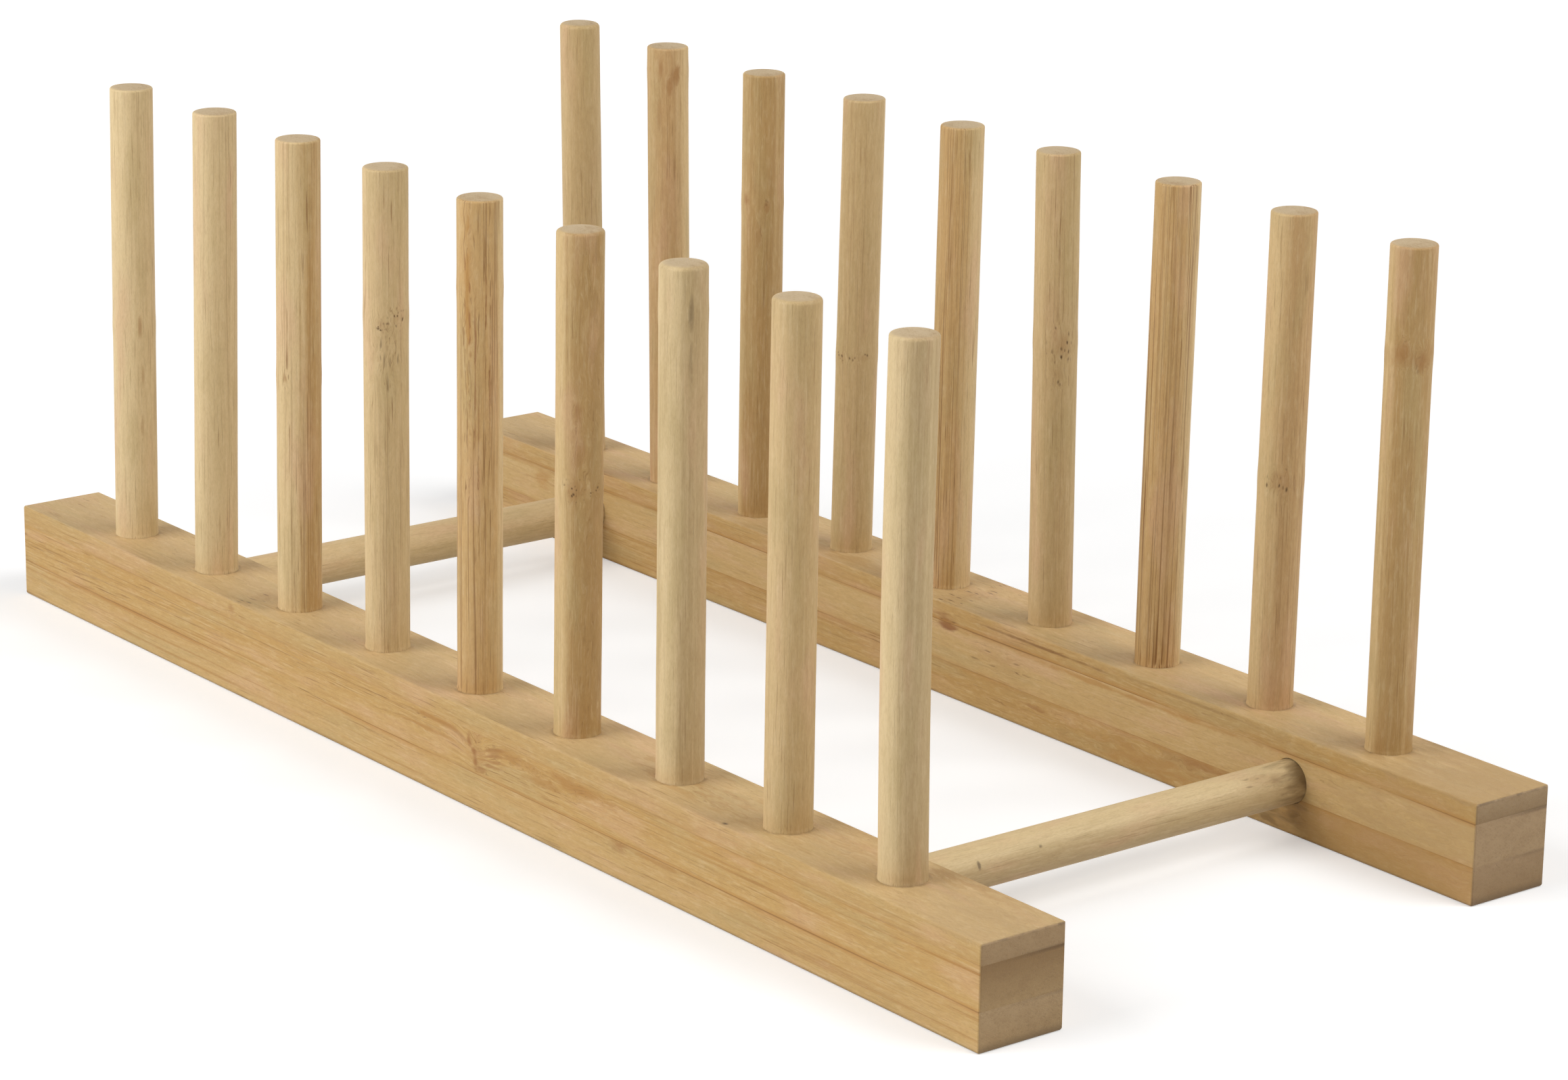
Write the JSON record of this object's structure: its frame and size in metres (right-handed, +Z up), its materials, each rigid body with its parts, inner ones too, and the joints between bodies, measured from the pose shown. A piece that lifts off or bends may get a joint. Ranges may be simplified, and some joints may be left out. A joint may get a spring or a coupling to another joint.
{
  "type": "plate rack",
  "caption": "Free-standing bamboo plate rack: laminated rails joined by spreader dowels, each rail with a row of upright pegs between which plates stand on edge.",
  "frame": {"origin": "on the table under the middle of the rack, halfway between the rails and halfway along them", "axes": "+X along the rails towards the right end, +Y from the front rail to the rear rail, +Z up along the pegs"},
  "size_m": [0.34, 0.1446, 0.1234],
  "materials": {
    "rail_bamboo": "sanded laminated bamboo, unvarnished, matt",
    "peg_bamboo": "sanded bamboo dowel, unvarnished, matt",
    "spreader_bamboo": "sanded bamboo dowel, unvarnished, matt"
  },
  "bodies": {
    "root": {"front_rail_base_strip": "rail_bamboo", "front_rail_core_strip": "rail_bamboo", "front_rail_face_strip": "rail_bamboo", "rear_rail_base_strip": "rail_bamboo", "rear_rail_core_strip": "rail_bamboo", "rear_rail_face_strip": "rail_bamboo", "front_peg_1": "peg_bamboo", "front_peg_2": "peg_bamboo", "front_peg_3": "peg_bamboo", "front_peg_4": "peg_bamboo", "front_peg_5": "peg_bamboo", "front_peg_6": "peg_bamboo", "front_peg_7": "peg_bamboo", "front_peg_8": "peg_bamboo", "front_peg_9": "peg_bamboo", "rear_peg_1": "peg_bamboo", "rear_peg_2": "peg_bamboo", "rear_peg_3": "peg_bamboo", "rear_peg_4": "peg_bamboo", "rear_peg_5": "peg_bamboo", "rear_peg_6": "peg_bamboo", "rear_peg_7": "peg_bamboo", "rear_peg_8": "peg_bamboo", "rear_peg_9": "peg_bamboo", "left_spreader": "spreader_bamboo", "right_spreader": "spreader_bamboo"}
  },
  "joints": []
}
